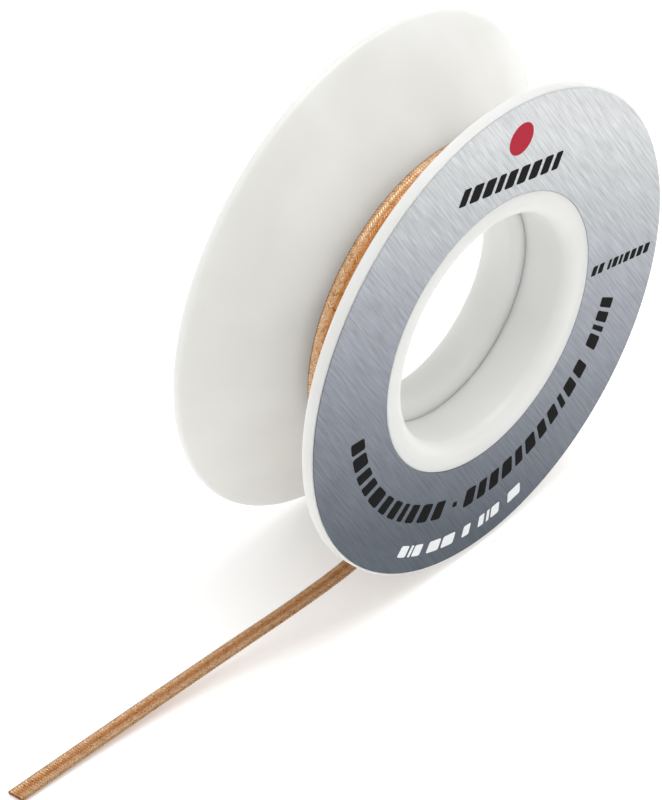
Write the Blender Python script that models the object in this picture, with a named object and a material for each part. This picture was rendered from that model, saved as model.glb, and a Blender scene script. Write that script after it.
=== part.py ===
# Reel of desoldering braid: two moulded halves pushed together, a ring label, a wound flat copper
# ribbon and its free tail.  The reel stands on its larger rim, the rear one, with its axle line along Y.
# Front (label side) is -Y, the tail runs out towards -X along the surface the reel stands on.
# Units are metres.  Depths are measured back from the front face.

import math

import bmesh
import bpy

# ---- overall sizes ----
FLANGE_RADIUS = 0.0236          # rear rim
FRONT_FLANGE_RADIUS = 0.0232
REEL_WIDTH = 0.01565            # front face to the back of the rear rim

# ---- clearances ----
PIECE_GAP = 0.0003              # between pieces that touch on the real reel
LABEL_EDGE_GAP = 0.0002         # between the label and the raised ring round the bore

# ---- front half ----
FRONT_FLANGE_THICKNESS = 0.0014
FRONT_BORE_RADIUS = 0.0109
LIP_ROUND = 0.00115             # rounded mouth of the front bore
HUB_WALL = 0.0011               # wall of the tube that carries the braid
RIM_ROUND_FRONT = 0.0002
RIM_ROUND_BACK = 0.0004

# ---- label ----
LABEL_RIM_MARGIN = 0.0002       # bare plastic outside the label
LABEL_LIP_MARGIN = 0.00135      # bare flat ring between the bore's lip and the label
LABEL_THICKNESS = 0.00012

# ---- braid ----
BRAID_WIDTH = 0.0020
BRAID_THICKNESS = 0.0005
WINDING_WIDTH = 0.0052          # across the turns that lie side by side
INNER_LAYERS_HEIGHT = 0.0029    # build-up of the layers that stay on the hub

# ---- rear half ----
SPIGOT_WALL = 0.0008
SPIGOT_LENGTH = 0.0022          # reach into the front half's tube, from the web
SPIGOT_ROUND_LENGTH = 0.0012    # the rounded inner mouth of the spigot, along the axle line
REAR_WEB_THICKNESS = 0.0011
REAR_BOSS_WALL = 0.0014
REAR_BOSS_HEIGHT = 0.0007       # boss behind the web
DISH_THICKNESS = 0.0010
DISH_LAND = 0.0019              # flat ring between the hub tube and the start of the dish
DISH_FILLET = 0.0020

# ---- free tail ----
TAIL_START_X = -0.0020          # beyond the lowest point of the winding
TAIL_SIDE_OFFSET = 0.0006       # from the first turn's place against the front flange
TAIL_DROP_GAP = 0.00045         # below the winding
TAIL_REST_HEIGHT = 0.00031      # the middle of the ribbon's thickness where it lies down

SEGMENTS = 70                   # round the axle line; an even count not divisible by 4 stands on a flat
ARC_STEPS = 4

# ---- derived places ----
AXLE_HEIGHT = max(FLANGE_RADIUS, FRONT_FLANGE_RADIUS)
HUB_RADIUS = FRONT_BORE_RADIUS + HUB_WALL
WINDING_START = FRONT_FLANGE_THICKNESS + PIECE_GAP
WEB_FACE = WINDING_START + WINDING_WIDTH + PIECE_GAP
INNER_LAYERS_RADIUS = HUB_RADIUS + PIECE_GAP + INNER_LAYERS_HEIGHT
TOP_LAYER_INNER = INNER_LAYERS_RADIUS + PIECE_GAP
TOP_LAYER_OUTER = TOP_LAYER_INNER + BRAID_THICKNESS
LABEL_OUTER_RADIUS = FRONT_FLANGE_RADIUS - LABEL_RIM_MARGIN
LABEL_INNER_RADIUS = FRONT_BORE_RADIUS + LIP_ROUND + LABEL_LIP_MARGIN
SPIGOT_END_DEPTH = WEB_FACE - SPIGOT_LENGTH
SPIGOT_RADIUS = FRONT_BORE_RADIUS - PIECE_GAP
SPIGOT_BORE_RADIUS = SPIGOT_RADIUS - SPIGOT_WALL
LABEL_SEAT_DEPTH = LABEL_THICKNESS + PIECE_GAP

TAIL_START_DEPTH = WINDING_START + BRAID_WIDTH / 2 + TAIL_SIDE_OFFSET
TAIL_START_HEIGHT = AXLE_HEIGHT - TOP_LAYER_OUTER - TAIL_DROP_GAP

# The tail comes off the bottom of the winding, droops on to the surface and drifts towards the
# rear flange: (x, drift back, share of the fall from the start to the rest height).
TAIL_ROUTE = [
    (TAIL_START_X, 0.0, 0.0),
    (-0.0060, 0.0, 0.120),
    (-0.0100, 0.00001, 0.241),
    (-0.0145, 0.00015, 0.379),
    (-0.0200, 0.00105, 0.534),
    (-0.0260, 0.00222, 0.680),
    (-0.0320, 0.00327, 0.804),
    (-0.0380, 0.00413, 0.899),
    (-0.0440, 0.00481, 0.963),
    (-0.0520, 0.00544, 1.0),
]


def clear_scene():
    for old in list(bpy.data.objects):
        bpy.data.objects.remove(old)


def material(name, colour, roughness, metallic=0.0):
    mat = bpy.data.materials.new(name)
    mat.use_nodes = True
    shader = mat.node_tree.nodes["Principled BSDF"]
    shader.inputs["Base Color"].default_value = (*colour, 1.0)
    shader.inputs["Roughness"].default_value = roughness
    shader.inputs["Metallic"].default_value = metallic
    return mat


def arc(centre, radii, start, end, steps=ARC_STEPS):
    """Points (radius, depth) on an arc; angles in degrees, 0 = outwards, 90 = backwards."""
    points = []
    for i in range(steps + 1):
        angle = math.radians(start + (end - start) * i / steps)
        points.append((centre[0] + radii[0] * math.cos(angle), centre[1] + radii[1] * math.sin(angle)))
    return points


def turned(name, profile, mat, axle):
    """A ring turned round the axle line from a closed profile of (radius, depth) points."""
    shape = bmesh.new()
    corners = [shape.verts.new((radius, 0.0, REEL_WIDTH / 2 - depth)) for radius, depth in profile]
    edges = [shape.edges.new((corner, corners[i - 1])) for i, corner in enumerate(corners)]
    bmesh.ops.spin(shape, geom=corners + edges, axis=(0, 0, 1), cent=(0, 0, 0), angle=math.tau,
                   steps=SEGMENTS, use_merge=True)
    bmesh.ops.recalc_face_normals(shape, faces=shape.faces)
    mesh = bpy.data.meshes.new(name)
    shape.to_mesh(mesh)
    shape.free()
    mesh.shade_smooth()
    mesh.set_sharp_from_angle(angle=math.radians(35))
    mesh.materials.append(mat)
    ring = bpy.data.objects.new(name, mesh)
    bpy.context.scene.collection.objects.link(ring)
    ring.parent = axle
    return ring


def front_half_profile():
    seat_inner = LABEL_INNER_RADIUS - LABEL_EDGE_GAP
    lip_centre = (FRONT_BORE_RADIUS + LIP_ROUND, LIP_ROUND)
    profile = arc(lip_centre, (LIP_ROUND, LIP_ROUND), 180, 270, 5)
    profile += [(seat_inner, 0.0), (seat_inner, LABEL_SEAT_DEPTH)]
    front_corner = (FRONT_FLANGE_RADIUS - RIM_ROUND_FRONT, LABEL_SEAT_DEPTH + RIM_ROUND_FRONT)
    profile += arc(front_corner, (RIM_ROUND_FRONT, RIM_ROUND_FRONT), -90, 0, 2)
    back_corner = (FRONT_FLANGE_RADIUS - RIM_ROUND_BACK, FRONT_FLANGE_THICKNESS - RIM_ROUND_BACK)
    profile += arc(back_corner, (RIM_ROUND_BACK, RIM_ROUND_BACK), 0, 90, 3)
    profile += [(HUB_RADIUS, FRONT_FLANGE_THICKNESS), (HUB_RADIUS, WEB_FACE - PIECE_GAP)]
    profile += [(FRONT_BORE_RADIUS, WEB_FACE - PIECE_GAP)]
    return profile


def dish_line():
    """The dish's middle line: where it leaves the web, where it ends at the rim, and its slope."""
    rim_round = DISH_THICKNESS / 2
    end = (FLANGE_RADIUS - rim_round, REEL_WIDTH - rim_round)
    corner_radius = HUB_RADIUS + DISH_LAND
    # the front surface of the dish passes through the corner (corner_radius, WEB_FACE)
    reach = (end[0] - corner_radius, end[1] - WEB_FACE)
    slope = math.atan2(reach[1], reach[0]) - math.asin(rim_round / math.hypot(*reach))
    return (corner_radius, WEB_FACE), end, slope


def rear_half_profile():
    corner, rim, slope = dish_line()
    rim_round = DISH_THICKNESS / 2
    degrees = math.degrees(slope)
    web_back = WEB_FACE + REAR_WEB_THICKNESS
    boss_back = web_back + REAR_BOSS_HEIGHT
    boss_radius = SPIGOT_BORE_RADIUS + REAR_BOSS_WALL

    # spigot mouth: rounded from the bore out to the end face
    mouth = (SPIGOT_BORE_RADIUS + SPIGOT_WALL, SPIGOT_END_DEPTH + SPIGOT_ROUND_LENGTH)
    profile = arc(mouth, (SPIGOT_WALL, SPIGOT_ROUND_LENGTH), 180, 265, 5)
    profile += [(SPIGOT_RADIUS, SPIGOT_END_DEPTH + SPIGOT_WALL / 4), (SPIGOT_RADIUS, WEB_FACE)]

    # front surface: flat land, a fillet, then the straight flank of the dish
    run = DISH_FILLET * math.tan(slope / 2)
    profile += arc((corner[0] - run, WEB_FACE + DISH_FILLET), (DISH_FILLET, DISH_FILLET), -90, degrees - 90)
    profile += arc(rim, (rim_round, rim_round), degrees - 90, degrees + 90, 6)

    # back surface: flank, flat web, boss
    back_r = rim[0] - rim_round * math.sin(slope)
    back_d = rim[1] + rim_round * math.cos(slope)
    flank_end = back_r - (back_d - web_back) / math.tan(slope)
    profile += [(flank_end, web_back), (boss_radius, web_back), (boss_radius, boss_back)]
    profile += [(SPIGOT_BORE_RADIUS, boss_back)]
    return profile


def ring_profile(inner, outer, front, back):
    return [(inner, front), (outer, front), (outer, back), (inner, back)]


def smooth_route(points, per_span):
    """Catmull-Rom curve through the points."""
    before = [2 * a - b for a, b in zip(points[0], points[1])]
    after = [2 * a - b for a, b in zip(points[-1], points[-2])]
    padded = [before, *points, after]
    route = []
    for i in range(1, len(padded) - 2):
        p0, p1, p2, p3 = padded[i - 1:i + 3]
        for step in range(per_span):
            t = step / per_span
            route.append([0.5 * (2 * b + (c - a) * t + (2 * a - 5 * b + 4 * c - d) * t * t
                                 + (3 * b - a - 3 * c + d) * t ** 3)
                          for a, b, c, d in zip(p0, p1, p2, p3)])
    route.append(list(points[-1]))
    return route


def tail(name, mat, axle):
    """The free ribbon: a curve with a flat, round-edged section, its width along the axle line."""
    curve = bpy.data.curves.new(name, "CURVE")
    curve.dimensions = "3D"
    curve.twist_mode = "Z_UP"
    curve.bevel_depth = BRAID_THICKNESS / 2
    curve.extrude = (BRAID_WIDTH - BRAID_THICKNESS) / 2
    curve.bevel_resolution = 1
    curve.use_fill_caps = True
    fall = TAIL_START_HEIGHT - TAIL_REST_HEIGHT
    points = [(x, TAIL_START_HEIGHT - share * fall, TAIL_START_DEPTH + drift)
              for x, drift, share in TAIL_ROUTE]
    route = smooth_route(points, 2)
    spline = curve.splines.new("POLY")
    spline.points.add(len(route) - 1)
    for point, (x, height, depth) in zip(spline.points, route):
        point.co = (x, height - AXLE_HEIGHT, REEL_WIDTH / 2 - depth, 1.0)
    curve.materials.append(mat)
    ribbon = bpy.data.objects.new(name, curve)
    bpy.context.scene.collection.objects.link(ribbon)
    ribbon.parent = axle
    return ribbon


def empty(name, parent=None):
    handle = bpy.data.objects.new(name, None)
    bpy.context.scene.collection.objects.link(handle)
    handle.parent = parent
    return handle


def main():
    clear_scene()
    white = material("milky polypropylene", (0.86, 0.86, 0.83), 0.4)
    foil = material("brushed foil", (0.55, 0.57, 0.60), 0.35, 0.8)
    copper = material("copper braid", (0.62, 0.33, 0.17), 0.45, 0.9)

    axle = empty("axle_line")
    axle.location = (0.0, 0.0, AXLE_HEIGHT)
    axle.rotation_euler = (math.pi / 2, 0.0, 0.0)
    unwind = empty("unwinding_braid", axle)

    turned("front_half", front_half_profile(), white, axle)
    turned("rear_half", rear_half_profile(), white, axle)
    turned("label", ring_profile(LABEL_INNER_RADIUS, LABEL_OUTER_RADIUS, 0.0, LABEL_THICKNESS),
           foil, axle)
    winding_back = WINDING_START + WINDING_WIDTH
    turned("braid_winding", ring_profile(HUB_RADIUS + PIECE_GAP, INNER_LAYERS_RADIUS, WINDING_START,
                                         winding_back), copper, axle)
    turned("braid_top_layer", ring_profile(TOP_LAYER_INNER, TOP_LAYER_OUTER, WINDING_START,
                                           winding_back), copper, unwind)
    tail("braid_tail", copper, unwind)


main()
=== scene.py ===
import math

import bpy
import numpy as np
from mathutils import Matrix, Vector


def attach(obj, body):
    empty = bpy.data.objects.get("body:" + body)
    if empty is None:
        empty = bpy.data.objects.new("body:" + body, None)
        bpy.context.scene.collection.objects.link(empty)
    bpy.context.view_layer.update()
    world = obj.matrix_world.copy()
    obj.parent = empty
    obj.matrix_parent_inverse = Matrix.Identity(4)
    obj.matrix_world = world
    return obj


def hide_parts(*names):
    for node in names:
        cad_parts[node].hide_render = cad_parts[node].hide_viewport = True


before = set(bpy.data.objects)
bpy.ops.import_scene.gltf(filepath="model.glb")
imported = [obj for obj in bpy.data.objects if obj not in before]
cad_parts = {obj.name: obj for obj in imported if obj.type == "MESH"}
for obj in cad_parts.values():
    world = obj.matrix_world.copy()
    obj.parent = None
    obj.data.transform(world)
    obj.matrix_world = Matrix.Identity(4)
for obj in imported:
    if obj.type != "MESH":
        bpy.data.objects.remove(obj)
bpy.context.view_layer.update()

# Reel of desoldering braid. Metres; the front (label) side is -Y, depths run back from the front face.
mm = 0.001
reel = dict(rimRadius=23.6 * mm, frontRadius=23.2 * mm, width=15.65 * mm, boreRadius=10.9 * mm,
            hubRadius=12.0 * mm, frontFlange=1.4 * mm, webFace=7.2 * mm, segments=288, sharpAngle=28)
axleHeight = reel["rimRadius"]


def linear(hexColour):
    channels = [int(hexColour[i:i + 2], 16) / 255 for i in (1, 3, 5)]
    return [c / 12.92 if c <= 0.04045 else ((c + 0.055) / 1.055) ** 2.4 for c in channels] + [1.0]


# A socket is given by its name, with underscores for spaces, or by its number, as in _0.
def addNode(tree, kind, settings=None, **sockets):
    node = tree.nodes.new(kind)
    for key, value in (settings or {}).items():
        setattr(node, key, value)
    for key, value in sockets.items():
        place = int(key[1:]) if key[1:].isdigit() else key.replace("_", " ")
        socket = node.inputs[place]
        if isinstance(value, bpy.types.NodeSocket):
            tree.links.new(value, socket)
        else:
            socket.default_value = value
    return node


def newMaterial(name):
    material = bpy.data.materials.new(name)
    material.use_nodes = True
    tree = material.node_tree
    tree.nodes.clear()
    shader = addNode(tree, "ShaderNodeBsdfPrincipled")
    addNode(tree, "ShaderNodeOutputMaterial", Surface=shader.outputs["BSDF"])
    return material, tree, shader


def rampOf(tree, factor, stops):
    ramp = addNode(tree, "ShaderNodeValToRGB", Fac=factor)
    elements = ramp.color_ramp.elements
    while len(elements) < len(stops):
        elements.new(0.5)
    for element, (place, colour) in zip(elements, stops):
        element.position = place
        element.color = linear(colour)
    return ramp.outputs["Color"]


def addMesh(name, points, faces, material, sharpAngle=None):
    mesh = bpy.data.meshes.new(name)
    mesh.from_pydata([tuple(p) for p in points], [], [tuple(f) for f in faces])
    mesh.materials.append(material)
    mesh.shade_smooth()
    if sharpAngle:
        mesh.set_sharp_from_angle(angle=math.radians(sharpAngle))
    piece = bpy.data.objects.new(name, mesh)
    bpy.context.scene.collection.objects.link(piece)
    return piece


# a round stretch of a (radius, depth) outline, in degrees
def arc(centreR, centreD, radiusR, radiusD, start, end, steps):
    turn = np.radians(np.linspace(start, end, steps + 1))
    return [(centreR + radiusR * math.cos(t), centreD + radiusD * math.sin(t)) for t in turn]


# a closed (radius, depth) outline, turned round the axle line
def turnedRing(name, profile, material, segments=reel["segments"]):
    outline = np.array(profile)
    count = len(outline)
    after = np.roll(outline, -1, axis=0)
    if np.sum(outline[:, 0] * after[:, 1] - after[:, 0] * outline[:, 1]) < 0:
        outline = outline[::-1]
    turn = np.linspace(0, math.tau, segments, endpoint=False)
    points = np.stack([np.outer(np.cos(turn), outline[:, 0]),
                       np.tile(outline[:, 1] - reel["width"] / 2, (segments, 1)),
                       axleHeight + np.outer(np.sin(turn), outline[:, 0])], -1).reshape(-1, 3)
    faces = []
    for i in range(segments):
        j = (i + 1) % segments
        for k in range(count):
            n = (k + 1) % count
            faces.append((i * count + k, i * count + n, j * count + n, j * count + k))
    return addMesh(name, points, faces, material, reel["sharpAngle"])


# camera: a long lens, so the view is nearly parallel
camera = dict(towards=Vector((-0.576, -0.493, 0.652)).normalized(),
              centre=Vector((-0.011674, -0.000045, 0.019158)),
              distance=2.0, lens=1048.0, sensor=36.0, nearest=0.01, farthest=50)
lensData = bpy.data.cameras.new("studioCamera")
lensData.lens = camera["lens"]
lensData.sensor_width = camera["sensor"]
lensData.clip_start = camera["nearest"]
lensData.clip_end = camera["farthest"]
studioCamera = bpy.data.objects.new("studioCamera", lensData)
bpy.context.scene.collection.objects.link(studioCamera)
studioCamera.location = camera["centre"] + camera["towards"] * camera["distance"]
studioCamera.rotation_euler = camera["towards"].to_track_quat("Z", "Y").to_euler()
bpy.context.scene.camera = studioCamera
bpy.context.scene.view_settings.view_transform = "Standard"
print("camera set")

# floor and light: a white room, brighter overhead, with a key lamp above and a weak fill behind
studio = dict(floorHalf=3.0, floorColour="#FBFBFA", floorGlow=0.2, floorRoughness=0.9,
              floorSpecular=0.1, horizon=0.54, zenith=0.95,
              key=dict(at=(0.24, -0.12, 0.74), size=0.45, power=2.4),
              fill=dict(at=(-0.5, 0.35, 0.55), size=0.6, power=0.8))
# Opal acrylic, cast with a matt face and lit faintly from below, so shadows stay pale on it
floorAcrylic, tree, shader = newMaterial("lit opal acrylic")
shader.inputs["Base Color"].default_value = linear(studio["floorColour"])
shader.inputs["Roughness"].default_value = studio["floorRoughness"]
shader.inputs["Specular IOR Level"].default_value = studio["floorSpecular"]
shader.inputs["Emission Color"].default_value = linear("#FFFFFF")
shader.inputs["Emission Strength"].default_value = studio["floorGlow"]
half = studio["floorHalf"]
floorCorners = [(-half, -half, 0), (half, -half, 0), (half, half, 0), (-half, half, 0)]
floor = addMesh("studioFloor", floorCorners, [(0, 1, 2, 3)], floorAcrylic)
world = bpy.data.worlds.new("softWhiteRoom")
world.use_nodes = True
sky = world.node_tree
direction = addNode(sky, "ShaderNodeTexCoord")
skyward = addNode(sky, "ShaderNodeSeparateXYZ", Vector=direction.outputs["Generated"])
strength = addNode(sky, "ShaderNodeMapRange", _0=skyward.outputs["Z"], _1=0.0, _2=1.0,
                   _3=studio["horizon"], _4=studio["zenith"])
sky.nodes["Background"].inputs["Color"].default_value = (1, 1, 1, 1)
sky.links.new(strength.outputs[0], sky.nodes["Background"].inputs["Strength"])
bpy.context.scene.world = world
for lampName in ("key", "fill"):
    lamp = studio[lampName]
    lampData = bpy.data.lights.new(lampName + "Light", "AREA")
    lampData.size = lamp["size"]
    lampData.energy = lamp["power"]
    lampObject = bpy.data.objects.new(lampName + "Light", lampData)
    bpy.context.scene.collection.objects.link(lampObject)
    lampObject.location = lamp["at"]
    aim = Vector(lamp["at"]) - Vector((0, 0, axleHeight))
    lampObject.rotation_euler = aim.to_track_quat("Z", "Y").to_euler()
print("studio set")

# Braid: a flattened tube of copper bundles, plaited two over, two under. Angles are in degrees round
# the axle from the lowest point: the buried end is at "end", the ribbon changes lane over "crossing",
# and the tail leaves at "leaves".
braid = dict(wound=2.5 * mm, woundThick=0.42 * mm, free=1.82 * mm, freeThick=0.38 * mm,
             settles=10 * mm, perimeter=4.4 * mm, carriers=20, slope=math.tan(math.radians(37)),
             bundleHalf=0.078 * mm, lift=0.036 * mm, crown=0.022 * mm, waist=0.05 * mm,
             step=0.1 * mm, overrun=0.5 * mm, hiddenBelow=0.12 * mm, spacing=0.25 * mm,
             coreInset=0.06 * mm, coreStep=0.4 * mm, coreSides=20,
             leavesAt=3.3 * mm, frontTurn=3.05 * mm, rearTurn=5.62 * mm, radius=15.75 * mm,
             endRadius=15.47 * mm, leaves=11.5, crossing=(311, 366), end=718, tuck=30, shift=50)
# the free end's middle line, as the CAD has it: x, depth, height in millimetres
tailRoute = [(-2.0, 3.30, 7.15), (-6.0, 3.30, 6.33), (-10.0, 3.31, 5.50), (-14.5, 3.45, 4.56),
             (-20.0, 4.35, 3.50), (-26.0, 5.52, 2.50), (-32.0, 6.57, 1.65), (-38.0, 7.43, 1.00),
             (-44.0, 8.11, 0.56), (-52.0, 8.74, 0.31)]
# the ribbon's turn about its own line: distance along the tail in mm, degrees (front edge up)
tailTwist = [(0, 0), (3, 4), (9, 15), (25, 15), (42, 10), (57, 6)]


def smoothLine(points, perSpan):
    padded = np.vstack([2 * points[0] - points[1], points, 2 * points[-1] - points[-2]])
    t = np.linspace(0, 1, perSpan, endpoint=False)[:, None]
    spans = []
    for p0, p1, p2, p3 in zip(padded, padded[1:], padded[2:], padded[3:]):
        spans.append(0.5 * (2 * p1 + (p2 - p0) * t + (2 * p0 - 5 * p1 + 4 * p2 - p3) * t ** 2
                            + (3 * p1 - p0 - 3 * p2 + p3) * t ** 3))
    return np.vstack(spans + [points[-1:]])


def evenly(line, spacing):
    along = np.concatenate([[0], np.cumsum(np.linalg.norm(np.diff(line, axis=0), axis=1))])
    count = int(along[-1] / spacing)
    at = np.linspace(0, along[-1], count + 1)
    return np.stack([np.interp(at, along, line[:, i]) for i in range(3)], 1), at


def ease(x):
    x = np.clip(x, 0, 1)
    return x * x * (3 - 2 * x)


# the wound part, walked from its buried end to where the tail leaves
turn = np.arange(braid["end"], braid["leaves"], -1.0)
cross = ease((turn - braid["crossing"][0]) / (braid["crossing"][1] - braid["crossing"][0]))
depart = ease((braid["leaves"] + braid["shift"] - turn) / braid["shift"])
tuck = ease((turn - braid["end"] + braid["tuck"]) / braid["tuck"])
depth = braid["frontTurn"] + (braid["rearTurn"] - braid["frontTurn"]) * cross
depth += (braid["leavesAt"] - braid["frontTurn"]) * depart
radius = braid["radius"] - (braid["radius"] - braid["endRadius"]) * tuck
wound = np.stack([radius * np.sin(np.radians(turn)), depth - reel["width"] / 2,
                  axleHeight - radius * np.cos(np.radians(turn))], 1)
leaving = np.radians(braid["leaves"])
exitPoint = np.array([braid["radius"] * math.sin(leaving), braid["leavesAt"] - reel["width"] / 2,
                      axleHeight - braid["radius"] * math.cos(leaving)])
tailPoints = np.array([(x * mm, d * mm - reel["width"] / 2, z * mm) for x, d, z in tailRoute])
tailLine = smoothLine(np.vstack([exitPoint, tailPoints]), 24)
ribbonLine, along = evenly(np.vstack([wound, tailLine]), braid["spacing"])
tailStart = along[-1] - np.linalg.norm(np.diff(tailLine, axis=0), axis=1).sum()

# the ribbon's directions: along it, across its width and out of its face
tangents = np.gradient(ribbonLine, axis=0)
tangents /= np.linalg.norm(tangents, axis=1)[:, None]
forward = np.array([0, -1.0, 0])
across = forward - tangents * (tangents @ forward)[:, None]
across /= np.linalg.norm(across, axis=1)[:, None]
outward = np.cross(across, tangents)
# the outward side faces down where the tail starts, so the twist's sense follows it
twist = np.radians(np.interp((along - tailStart) / mm, *zip(*tailTwist)))[:, None]
across, outward = (across * np.cos(twist) - outward * np.sin(twist),
                   outward * np.cos(twist) + across * np.sin(twist))
# wide where it is pressed on the hub, narrower once it is free
settled = ease((along - tailStart) / braid["settles"])
ribbonWidth = braid["wound"] + (braid["free"] - braid["wound"]) * settled
ribbonThick = braid["woundThick"] + (braid["freeThick"] - braid["woundThick"]) * settled


# Point on the flattened tube, from the share of the way round (from the outer side's middle), the
# distance along and the height off the skin. Its height off the middle plane and its place across
# the ribbon, -1 to 1, come with it. The tube is a little thinner along its middle, as a plait that
# is drawn flat is.
def onRibbon(share, distance, proud):
    width = np.interp(distance, along, ribbonWidth)
    thick = np.interp(distance, along, ribbonThick)
    flat = width - thick
    bend = thick / 2
    whole = 2 * flat + math.tau * bend
    run = (share % 1.0) * whole
    side = np.where(run < whole / 2, 1.0, -1.0)
    run = np.where(run < whole / 2, run, whole - run)
    angle = np.clip((run - flat / 2) / bend, 0, math.pi)
    back = run > flat / 2 + math.pi * bend
    w = np.where(run < flat / 2, run, np.where(back, whole / 2 - run, flat / 2))
    sunk = braid["waist"] * np.clip(1 - (w / (flat / 2)) ** 2, 0, 1)
    w = w + np.where((run >= flat / 2) & ~back, np.sin(angle), 0) * (bend + proud)
    n = np.cos(angle) * (bend + proud - sunk)
    place, a, o = [np.stack([np.interp(distance, along, line[:, i]) for i in range(3)], -1)
                   for line in (ribbonLine, across, outward)]
    return place + a * (w * side)[..., None] + o * n[..., None], n, w * side / (width / 2)


def gridFaces(rows, columns, closed=False):
    steps = columns if closed else columns - 1
    i, j = np.meshgrid(np.arange(rows - 1), np.arange(steps), indexing="ij")
    n = (j + 1) % columns
    corners = [i * columns + j, i * columns + n, (i + 1) * columns + n, (i + 1) * columns + j]
    return np.stack(corners, -1).reshape(-1, 4)


# The bundles of both hands round a core, painted dark for the shade between them, which fills the tube
# so nothing shows between them.
# The "strands" coordinates hold each bundle's number and place across it, the "ribbon" ones the
# place across the whole ribbon; both hold the distance along in mm.
def plait(name, start, stop, materials, onlyOuter):
    pitch = braid["perimeter"] / braid["carriers"]
    rise = braid["slope"]
    lean = math.atan(rise)
    walk = np.arange(start - braid["overrun"], stop + braid["overrun"], braid["step"])
    over = np.linspace(-1, 1, 3)
    points, faces, strands, bands, total = [], [], [], [], 0
    for hand in (1, -1):
        for carrier in range(braid["carriers"]):
            centre = carrier * pitch + hand * walk * rise
            u = centre[:, None] + over * braid["bundleHalf"] * math.cos(lean)
            v = walk[:, None] - hand * over * braid["bundleHalf"] * math.sin(lean)
            crossed = (centre + hand * walk * rise) / pitch
            wave = hand * np.cos((carrier + crossed - 0.5) * math.pi / 2)
            height = braid["lift"] * wave[:, None] + braid["crown"] * (1 - over ** 2) - braid["lift"]
            spot, n, band = onRibbon(u / braid["perimeter"], np.clip(v, start, stop), height)
            grid = gridFaces(len(walk), len(over))
            kept = ((v > start) & (v < stop)).reshape(-1)[grid].any(1)
            if onlyOuter:
                kept &= n.reshape(-1)[grid].max(1) > -braid["hiddenBelow"]
            points.append(spot.reshape(-1, 3))
            faces.append(grid[kept] + total)
            strand = carrier + (0 if hand > 0 else braid["carriers"]) + 0.5 + 0.499 * over
            strands.append(np.stack([np.broadcast_to(strand, v.shape), v / mm], -1).reshape(-1, 2))
            bands.append(np.stack([band / 2 + 0.5, v / mm], -1).reshape(-1, 2))
            total += v.size
    sides = braid["coreSides"]
    walk = np.append(np.arange(start, stop, braid["coreStep"])[:-1], stop)
    spot, _, _ = onRibbon(np.tile(np.linspace(0, 1, sides, endpoint=False), (len(walk), 1)),
                          np.tile(walk[:, None], (1, sides)),
                          np.full((len(walk), sides), -braid["coreInset"]))
    points.append(spot.reshape(-1, 3))
    strands.append(np.zeros((len(walk) * sides, 2)))
    bands.append(np.zeros((len(walk) * sides, 2)))
    bundleFaces = np.vstack(faces)
    coreFaces = gridFaces(len(walk), sides, closed=True) + total
    lastRing = total + (len(walk) - 1) * sides
    caps = [total + np.arange(sides)[::-1], lastRing + np.arange(sides)]
    points, strands, bands = np.vstack(points), np.vstack(strands), np.vstack(bands)
    allFaces = list(bundleFaces) + list(coreFaces) + caps
    used = np.unique(np.concatenate([np.ravel(bundleFaces), np.ravel(coreFaces)]))
    renumber = np.full(len(points), -1)
    renumber[used] = np.arange(len(used))
    piece = addMesh(name, points[used], [renumber[f] for f in allFaces], materials[0])
    mesh = piece.data
    mesh.materials.append(materials[1])
    slots = np.zeros(len(allFaces), int)
    slots[len(bundleFaces):] = 1
    mesh.polygons.foreach_set("material_index", slots)
    corners = np.empty(len(mesh.loops), int)
    mesh.loops.foreach_get("vertex_index", corners)
    for layerName, values in (("strands", strands), ("ribbon", bands)):
        layer = mesh.uv_layers.new(name=layerName)
        layer.data.foreach_set("uv", values[used][corners].astype(np.float32).ravel())
    return piece


# Bare copper wire, drawn, plaited and rolled flat: bright metal in patches, painted shade in the
# grooves between wires and along the ribbon's two edges, and redder down the ribbon's middle. The
# wires are 0.05 mm, too fine to show, so two lines a bundle stand for them.
# the edge colour is a painted shade along the ribbon's two edges; the middle colour makes its middle
# darker and redder
wire = dict(perBundle=2.0, light="#FADDBA", mid="#DFB083", dark="#94643A", edge="#CEC6BB",
            bare="#FFFFFF", middleTone="#EBC8A2", metallic=1.0, roughness=0.38, patch=0.9,
            relief=0.03 * mm, reliefStrength=0.7)
copperWire, tree, shader = newMaterial("plaited copper wire")
strandMap = addNode(tree, "ShaderNodeUVMap", dict(uv_map="strands"))
strandPlace = addNode(tree, "ShaderNodeSeparateXYZ", Vector=strandMap.outputs["UV"])
wires = addNode(tree, "ShaderNodeMath", dict(operation="MULTIPLY"), _0=strandPlace.outputs["X"],
                _1=wire["perBundle"])
groove = addNode(tree, "ShaderNodeMath", dict(operation="PINGPONG"), _0=wires.outputs[0], _1=0.5)
number = addNode(tree, "ShaderNodeMath", dict(operation="FLOOR"), _0=wires.outputs[0])
patches = addNode(tree, "ShaderNodeMath", dict(operation="MULTIPLY"), _0=strandPlace.outputs["Y"],
                  _1=wire["patch"])
seed = addNode(tree, "ShaderNodeCombineXYZ", X=number.outputs[0], Y=patches.outputs[0])
mottle = addNode(tree, "ShaderNodeTexNoise", Vector=seed.outputs[0], Scale=1.0, Detail=3.0,
                 Roughness=0.65)
tone = rampOf(tree, mottle.outputs["Fac"],
              [(0.30, wire["dark"]), (0.47, wire["mid"]), (0.66, wire["light"])])
# painted shade: the base colour is darkened down to 0.6 in the grooves between the wires
between = addNode(tree, "ShaderNodeMapRange", _0=groove.outputs[0], _1=0.0, _2=0.28, _3=0.6, _4=1.0)
shaded = addNode(tree, "ShaderNodeMix", dict(data_type="RGBA", blend_type="MULTIPLY"), _0=1.0,
                 _6=tone, _7=between.outputs[0])
ribbonMap = addNode(tree, "ShaderNodeUVMap", dict(uv_map="ribbon"))
ribbonPlace = addNode(tree, "ShaderNodeSeparateXYZ", Vector=ribbonMap.outputs["UV"])
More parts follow.
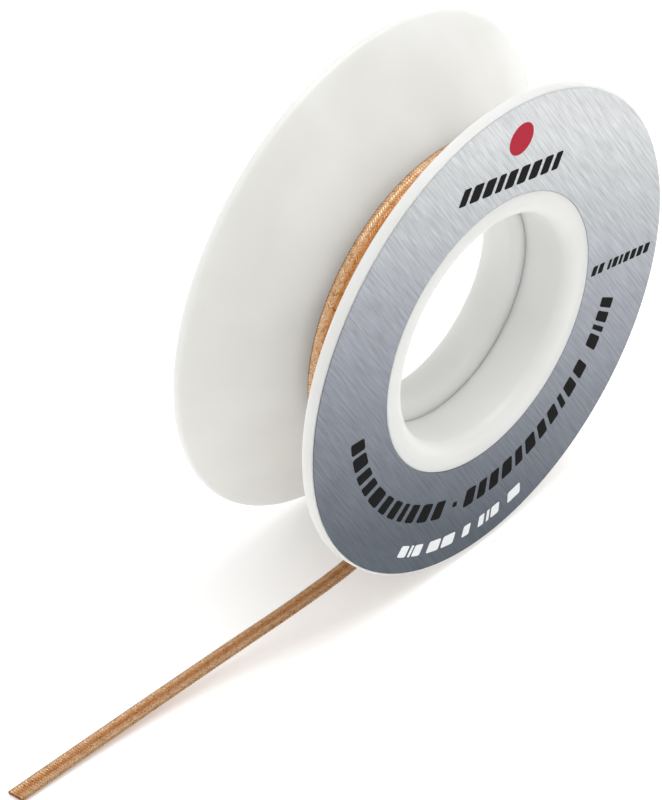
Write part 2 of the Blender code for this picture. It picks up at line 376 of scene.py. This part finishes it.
# painted shade along the ribbon's two edges, and a darker, redder middle
edgeShadeAndMiddle = rampOf(tree, ribbonPlace.outputs["X"],
              [(0.0, wire["edge"]), (0.10, wire["bare"]), (0.28, wire["bare"]), (0.42, wire["middleTone"]),
               (0.58, wire["middleTone"]), (0.72, wire["bare"]), (0.90, wire["bare"]), (1.0, wire["edge"])])
ribbonShaded = addNode(tree, "ShaderNodeMix", dict(data_type="RGBA", blend_type="MULTIPLY"), _0=1.0,
                 _6=shaded.outputs[2], _7=edgeShadeAndMiddle)
relief = addNode(tree, "ShaderNodeBump", Height=groove.outputs[0], Distance=wire["relief"],
                 Strength=wire["reliefStrength"])
tree.links.new(ribbonShaded.outputs[2], shader.inputs["Base Color"])
tree.links.new(relief.outputs[0], shader.inputs["Normal"])
shader.inputs["Metallic"].default_value = wire["metallic"]
shader.inputs["Roughness"].default_value = wire["roughness"]

# The same wire between the bundles and in the layers below, painted darker for the shade it lies in,
# rougher and uneven
shadedCopper = dict(light="#9A6B47", dark="#6A4026", grain=0.25 * mm, metallic=0.9, roughness=0.5)
copperCore, tree, shader = newMaterial("copper core in painted shade")
position = addNode(tree, "ShaderNodeTexCoord")
grain = addNode(tree, "ShaderNodeTexNoise", Vector=position.outputs["Object"],
                Scale=1 / shadedCopper["grain"], Detail=2.0)
coreTone = rampOf(tree, grain.outputs["Fac"], [(0.35, shadedCopper["dark"]), (0.65, shadedCopper["light"])])
tree.links.new(coreTone, shader.inputs["Base Color"])
shader.inputs["Metallic"].default_value = shadedCopper["metallic"]
shader.inputs["Roughness"].default_value = shadedCopper["roughness"]

freeBraid = plait("freeBraid", tailStart, along[-1], [copperWire, copperCore], False)
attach(freeBraid, "braid")
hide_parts("braid_tail")
topTurns = plait("topTurns", 0.0, tailStart, [copperWire, copperCore], True)
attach(topTurns, "braid")
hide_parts("braid_top_layer")
print("braid plaited", len(freeBraid.data.polygons), len(topTurns.data.polygons),
      round((along[-1] - tailStart) / mm, 1))

# the layers below: flat turns in two lanes, each turn with rounded edges, in copper painted dark for
# the shade they lie in
layers = dict(count=7, first=12.0 * mm, last=15.2 * mm, lanes=(1.8 * mm, 4.4 * mm), width=2.5 * mm,
              edge=0.06 * mm, groove=0.15 * mm, shoulder=0.2 * mm, segments=144)
first, last, shoulder = layers["first"], layers["last"], layers["shoulder"]
pitch = (last - first) / layers["count"]
frontEdge, backEdge = layers["lanes"][0], layers["lanes"][1] + layers["width"]
seam = (layers["lanes"][0] + layers["width"] + layers["lanes"][1]) / 2
edgeSteps = [(-0.45, layers["edge"]), (-0.2, 0.0), (0.2, 0.0), (0.45, layers["edge"])]
middles = [first + (i + 0.5) * pitch for i in range(layers["count"])]
innerOutline = [(first, frontEdge)]
innerOutline += [(m + pitch * r, frontEdge + inset) for m in middles for r, inset in edgeSteps]
innerOutline += [(last, frontEdge + shoulder), (last, seam - shoulder),
                 (last - layers["groove"], seam), (last, seam + shoulder),
                 (last, backEdge - shoulder)]
innerOutline += [(m - pitch * r, backEdge - inset) for m in middles[::-1] for r, inset in edgeSteps]
innerOutline.append((first, backEdge))
innerTurns = turnedRing("innerTurns", innerOutline, copperCore, layers["segments"])
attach(innerTurns, "reel")
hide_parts("braid_winding")
print("winding done")

# Polypropylene, injection moulded in a fine satin mould: milky, so light goes a millimetre or two
# into it and its shadows stay soft, with quiet highlights and a faint orange peel of 0.6 mm
plastic = dict(light="#E2E2E0", shade="#DCDCD9", ior=1.49, gloss=(0.33, 0.43), cloud=9 * mm,
               orangePeel=0.6 * mm, peelDepth=0.01 * mm, peelStrength=0.25, milk=0.7,
               milkDepth=1.6 * mm, milkTint=(1.0, 0.98, 0.94))
milkyPlastic, tree, shader = newMaterial("moulded polypropylene")
position = addNode(tree, "ShaderNodeTexCoord")
cloud = addNode(tree, "ShaderNodeTexNoise", Vector=position.outputs["Object"],
                Scale=1 / plastic["cloud"], Detail=2.0)
milk = rampOf(tree, cloud.outputs["Fac"], [(0.35, plastic["shade"]), (0.65, plastic["light"])])
peel = addNode(tree, "ShaderNodeTexNoise", Vector=position.outputs["Object"],
               Scale=1 / plastic["orangePeel"], Detail=2.0)
gloss = addNode(tree, "ShaderNodeMapRange", _0=peel.outputs["Fac"], _1=0.3, _2=0.7,
                _3=plastic["gloss"][0], _4=plastic["gloss"][1])
skin = addNode(tree, "ShaderNodeBump", Height=peel.outputs["Fac"], Distance=plastic["peelDepth"],
               Strength=plastic["peelStrength"])
tree.links.new(milk, shader.inputs["Base Color"])
tree.links.new(gloss.outputs[0], shader.inputs["Roughness"])
tree.links.new(skin.outputs[0], shader.inputs["Normal"])
shader.inputs["IOR"].default_value = plastic["ior"]
shader.inputs["Subsurface Weight"].default_value = plastic["milk"]
shader.inputs["Subsurface Radius"].default_value = plastic["milkTint"]
shader.inputs["Subsurface Scale"].default_value = plastic["milkDepth"]

# front half: a rounded lip, a flat ring, a step that the label lies in, a thin flange and a hub tube
front = dict(lip=1.15 * mm, seatInner=13.35 * mm, seatDepth=0.14 * mm, seatEdgeR=0.04 * mm,
             seatEdgeD=0.03 * mm, rimFront=0.12 * mm, rimBack=0.4 * mm, fillet=0.3 * mm,
             filletMiddle=0.09 * mm, tubeEnd=6.9 * mm, tubeEdge=0.1 * mm)
rim, hub, bore = reel["frontRadius"], reel["hubRadius"], reel["boreRadius"]
flangeBack, tubeEnd, tubeEdge = reel["frontFlange"], front["tubeEnd"], front["tubeEdge"]
frontOutline = arc(bore + front["lip"], front["lip"], front["lip"], front["lip"], 180, 270, 14)
frontOutline += [(front["seatInner"] - front["seatEdgeR"], 0.0),
                 (front["seatInner"], front["seatEdgeD"]),
                 (front["seatInner"], front["seatDepth"])]
frontOutline += arc(rim - front["rimFront"], front["seatDepth"] + front["rimFront"],
                    front["rimFront"], front["rimFront"], -90, 0, 5)
frontOutline += arc(rim - front["rimBack"], flangeBack - front["rimBack"], front["rimBack"],
                    front["rimBack"], 0, 90, 6)
frontOutline += [(hub + front["fillet"], flangeBack),
                 (hub + front["filletMiddle"], flangeBack + front["filletMiddle"]),
                 (hub, flangeBack + front["fillet"])]
frontOutline += [(hub, tubeEnd - tubeEdge), (hub - tubeEdge, tubeEnd),
                 (bore + tubeEdge, tubeEnd), (bore, tubeEnd - tubeEdge)]
frontHalf = turnedRing("frontHalf", frontOutline, milkyPlastic)
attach(frontHalf, "reel")
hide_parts("front_half")

# rear half: a push-in spigot, a web, a dished flange with a full round rim, and a boss at the back
rear = dict(spigot=10.94 * mm, bore=9.8 * mm, mouth=5.0 * mm, mouthLength=1.2 * mm, web=1.1 * mm,
            bossWall=1.4 * mm, boss=0.7 * mm, bossEdge=0.15 * mm, boreEdge=0.2 * mm,
            dish=1.0 * mm, land=1.9 * mm, fillet=2.0 * mm, backFillet=1.2 * mm)
edgeRound = rear["dish"] / 2
corner = (reel["hubRadius"] + rear["land"], reel["webFace"])
rimMiddle = (reel["rimRadius"] - edgeRound, reel["width"] - edgeRound)
# the dish's front face is a straight line from the land's corner that touches the round of the rim
reach = (rimMiddle[0] - corner[0], rimMiddle[1] - corner[1])
slope = math.atan2(reach[1], reach[0]) - math.asin(edgeRound / math.hypot(*reach))
lean = math.degrees(slope)
# the spigot's rounded mouth; its outer edge runs just into the tube round it, so no groove shows
wall = rear["spigot"] - rear["bore"]
rearOutline = arc(rear["spigot"], rear["mouth"] + rear["mouthLength"], wall, rear["mouthLength"],
                  180, 270, 14)
rearOutline += [(rear["spigot"], reel["webFace"])]
run = rear["fillet"] * math.tan(slope / 2)
rearOutline += arc(corner[0] - run, reel["webFace"] + rear["fillet"], rear["fillet"],
                   rear["fillet"], -90, lean - 90, 10)
rearOutline += arc(*rimMiddle, edgeRound, edgeRound, lean - 90, lean + 90, 12)
webBack = reel["webFace"] + rear["web"]
backR = rimMiddle[0] - edgeRound * math.sin(slope)
backD = rimMiddle[1] + edgeRound * math.cos(slope)
flankEnd = backR - (backD - webBack) / math.tan(slope)
run = rear["backFillet"] * math.tan(slope / 2)
rearOutline += arc(flankEnd - run, webBack + rear["backFillet"], rear["backFillet"],
                   rear["backFillet"], lean - 90, -90, 8)
bossRadius = rear["bore"] + rear["bossWall"]
bossBack = webBack + rear["boss"]
bossEdge, boreEdge = rear["bossEdge"], rear["boreEdge"]
rearOutline += [(bossRadius + bossEdge, webBack), (bossRadius, webBack + bossEdge)]
rearOutline += arc(bossRadius - bossEdge, bossBack - bossEdge, bossEdge, bossEdge, 0, 90, 4)
rearOutline += arc(rear["bore"] + boreEdge, bossBack - boreEdge, boreEdge, boreEdge, 90, 180, 4)
rearHalf = turnedRing("rearHalf", rearOutline, milkyPlastic)
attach(rearHalf, "reel")
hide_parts("rear_half")
print("reel halves turned")

# Paper-backed foil, brushed one way, with a grey fade: streaks that catch the light over a sweep
# from dark low on the -X side to pale high on the +X side. Brush lines are about 0.02 mm wide, too
# fine to show, so they are drawn at 0.2 mm. The fade runs out to 19.3 mm either side of the axle line.
brushed = dict(streakLong=4.0 * mm, streakWide=0.2 * mm, tilt=-60, fadeTilt=60, fade=19.3,
               contrast=(0.82, 1.2), gloss=(0.50, 0.36), metallic=0.25, scratchDepth=0.01 * mm,
               scratchStrength=0.3,
               greys=[(0.0, "#444D59"), (0.24, "#6B717C"), (0.59, "#979AA3"), (0.76, "#AFB3B7"),
                      (0.90, "#BFC2C4"), (1.0, "#CBCDCF")])
foil, tree, shader = newMaterial("brushed printed foil")
position = addNode(tree, "ShaderNodeTexCoord")
centred = addNode(tree, "ShaderNodeVectorMath", dict(operation="SUBTRACT"),
                  _0=position.outputs["Object"], _1=(0, 0, axleHeight))
tilt, fadeTilt = math.radians(brushed["tilt"]), math.radians(brushed["fadeTilt"])
lengthways = (math.cos(tilt), 0, math.sin(tilt))
sideways = (-lengthways[2], 0, lengthways[0])
fadeWay = (math.cos(fadeTilt), 0, math.sin(fadeTilt))
streakAlong, streakAcross, fadePlace = [
    addNode(tree, "ShaderNodeVectorMath", dict(operation="DOT_PRODUCT"), _0=centred.outputs[0],
            _1=tuple(c / size for c in way)).outputs["Value"]
    for way, size in ((lengthways, brushed["streakLong"]), (sideways, brushed["streakWide"]),
                      (fadeWay, mm))]
streakPlace = addNode(tree, "ShaderNodeCombineXYZ", X=streakAlong, Y=streakAcross)
streaks = addNode(tree, "ShaderNodeTexNoise", Vector=streakPlace.outputs[0], Scale=1.0, Detail=4.0,
                  Roughness=0.6)
fade = addNode(tree, "ShaderNodeMapRange", _0=fadePlace, _1=-brushed["fade"], _2=brushed["fade"],
               _3=0.0, _4=1.0)
silver = rampOf(tree, fade.outputs[0], brushed["greys"])
bright = addNode(tree, "ShaderNodeMapRange", _0=streaks.outputs["Fac"], _1=0.3, _2=0.7,
                 _3=brushed["contrast"][0], _4=brushed["contrast"][1])
streaked = addNode(tree, "ShaderNodeMix", dict(data_type="RGBA", blend_type="MULTIPLY"), _0=1.0,
                   _6=silver, _7=bright.outputs[0])
rough = addNode(tree, "ShaderNodeMapRange", _0=streaks.outputs["Fac"], _1=0.3, _2=0.7,
                _3=brushed["gloss"][0], _4=brushed["gloss"][1])
scratches = addNode(tree, "ShaderNodeBump", Height=streaks.outputs["Fac"],
                    Distance=brushed["scratchDepth"], Strength=brushed["scratchStrength"])
tree.links.new(streaked.outputs[2], shader.inputs["Base Color"])
tree.links.new(rough.outputs[0], shader.inputs["Roughness"])
tree.links.new(scratches.outputs[0], shader.inputs["Normal"])
shader.inputs["Metallic"].default_value = brushed["metallic"]

label = dict(inner=13.4 * mm, middle=18 * mm, outer=23.0 * mm, thick=0.12 * mm, edge=0.02 * mm)
labelOutline = [(label["inner"], label["edge"]), (label["inner"] + label["edge"], 0.0),
                (label["middle"], 0.0), (label["outer"] - label["edge"], 0.0),
                (label["outer"], label["edge"]), (label["outer"], label["thick"]),
                (label["inner"], label["thick"])]
foilLabel = turnedRing("foilLabel", labelOutline, foil)
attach(foilLabel, "reel")
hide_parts("label")

# print on the label: plain blocks in rows, and a dot
printed = dict(proud=0.015 * mm, sunk=0.02 * mm, steps=7, roundness=0.18, speck=0.12 * mm,
               specular=0.04, slant=0.2, sharpAngle=30)


# Blocks are (x, z, heading, length, height, slant, bend radius) in mm, on the label's face. Their
# ink is screen-printed, so it is matt, slightly uneven and proud of the foil by its own thickness.
def printBlocks(name, blocks, colour, roughness, roundness=printed["roundness"]):
    ink, tree, shader = newMaterial(name + " ink")
    position = addNode(tree, "ShaderNodeTexCoord")
    speck = addNode(tree, "ShaderNodeTexNoise", Vector=position.outputs["Object"],
                    Scale=1 / printed["speck"], Detail=2.0)
    tint = addNode(tree, "ShaderNodeMapRange", _0=speck.outputs["Fac"], _1=0.3, _2=0.7, _3=0.88,
                   _4=1.0)
    paint = addNode(tree, "ShaderNodeMix", dict(data_type="RGBA", blend_type="MULTIPLY"), _0=1.0,
                    _6=linear(colour), _7=tint.outputs[0])
    tree.links.new(paint.outputs[2], shader.inputs["Base Color"])
    shader.inputs["Roughness"].default_value = roughness
    shader.inputs["Specular IOR Level"].default_value = printed["specular"]
    points, faces = [], []
    for x, z, heading, length, height, slant, bend in blocks:
        rounding = min(length, height) * roundness
        outline = []
        for cx, cz, start in ((1, 1, 0), (-1, 1, 90), (-1, -1, 180), (1, -1, 270)):
            for t in np.radians(np.linspace(start, start + 90, printed["steps"])):
                outline.append((cx * (length / 2 - rounding) + rounding * math.cos(t),
                                cz * (height / 2 - rounding) + rounding * math.sin(t)))
        turn = math.radians(heading)
        first, count = len(points), len(outline)
        for level in (-printed["proud"], printed["sunk"]):
            for px, pz in outline:
                px += pz * slant
                if bend:
                    reach, angle = bend + pz, px / bend
                    px, pz = reach * math.sin(angle), reach * math.cos(angle) - bend
                points.append(((x + px * math.cos(turn) - pz * math.sin(turn)) * mm,
                               level - reel["width"] / 2,
                               (z + px * math.sin(turn) + pz * math.cos(turn)) * mm + axleHeight))
        faces.append(tuple(range(first, first + count)))
        faces.append(tuple(range(first + 2 * count - 1, first + count - 1, -1)))
        for k in range(count):
            n = (k + 1) % count
            faces.append((first + k, first + count + k, first + count + n, first + n))
    piece = addMesh(name, points, faces, ink, printed["sharpAngle"])
    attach(piece, "reel")


# Blocks along an arc, tops inwards. A pattern's numbers are shares of the row, the negative ones gaps.
def arcRow(start, stop, pattern, radius, height, slant=printed["slant"]):
    whole = sum(abs(p) for p in pattern)
    at, out = start, []
    for p in pattern:
        share = abs(p) / whole * (stop - start)
        if p > 0:
            middle = at + share / 2
            t = math.radians(middle)
            out.append((radius * math.cos(t), radius * math.sin(t), middle + 90,
                        math.radians(share) * radius, height, slant, -radius))
        at += share
    return out


# the same along a straight line
def straightRow(x0, z0, x1, z1, pattern, height, slant=printed["slant"]):
    whole = sum(abs(p) for p in pattern)
    heading = math.degrees(math.atan2(z1 - z0, x1 - x0))
    at, out = 0.0, []
    for p in pattern:
        share = abs(p) / whole
        if p > 0:
            middle = at + share / 2
            out.append((x0 + (x1 - x0) * middle, z0 + (z1 - z0) * middle, heading,
                        share * math.hypot(x1 - x0, z1 - z0), height, slant, 0))
        at += share
    return out


rows = dict(blackRadius=17.3, blackHeight=1.75, whiteRadius=20.9, whiteHeight=1.1, dotSize=3.2)
black = straightRow(-3.6, 17.2, 9.5, 13.3,
                    [9, -4, 12, -4, 12, -4, 8, -4, 11, -4, 11, -4, 11, -4, 10, -4, 8], 1.7, 0.25)
black += straightRow(13.9, -2.25, 21.5, -4.25,
                     [7, -3, 7, -7, 4, -3, 7, -3, 4, -3, 7, -3, 7, -3, 7, -3, 7], 0.95)
black += arcRow(184, 250,
                [9, -3, 11, -4, 8, -4, 8, -4, 12, -4, 8, -4, 8, -4, 5, -4, 8, -4, 10, -4, 9],
                rows["blackRadius"], rows["blackHeight"])
black += arcRow(254.5, 256.3, [1], rows["blackRadius"], 0.5, 0)
black += arcRow(260, 317.5,
                [11, -4, 9, -4, 10, -4, 11, -4, 8, -4, 11, -4, 9, -4, 10, -4, 5, -4, 11, -4, 11],
                rows["blackRadius"], rows["blackHeight"])
black += arcRow(322, 338, [13, -4, 5, -4, 10, -4, 10], rows["blackRadius"], rows["blackHeight"])
white = arcRow(236, 282, [10, -3, 3, -2, 10, -8, 14, -3, 14, -10, 8, -10, 6, -3, 3, -2, 9, -10, 14],
               rows["whiteRadius"], rows["whiteHeight"])
dot = [(4.3, 18.9, 0, rows["dotSize"], rows["dotSize"], 0, 0)]
printBlocks("printBlack", black, "#0C0C0E", 0.5)
printBlocks("printWhite", white, "#F2F4F6", 0.45)
printBlocks("printRed", dot, "#B5243A", 0.4, 0.5)
print("label printed")
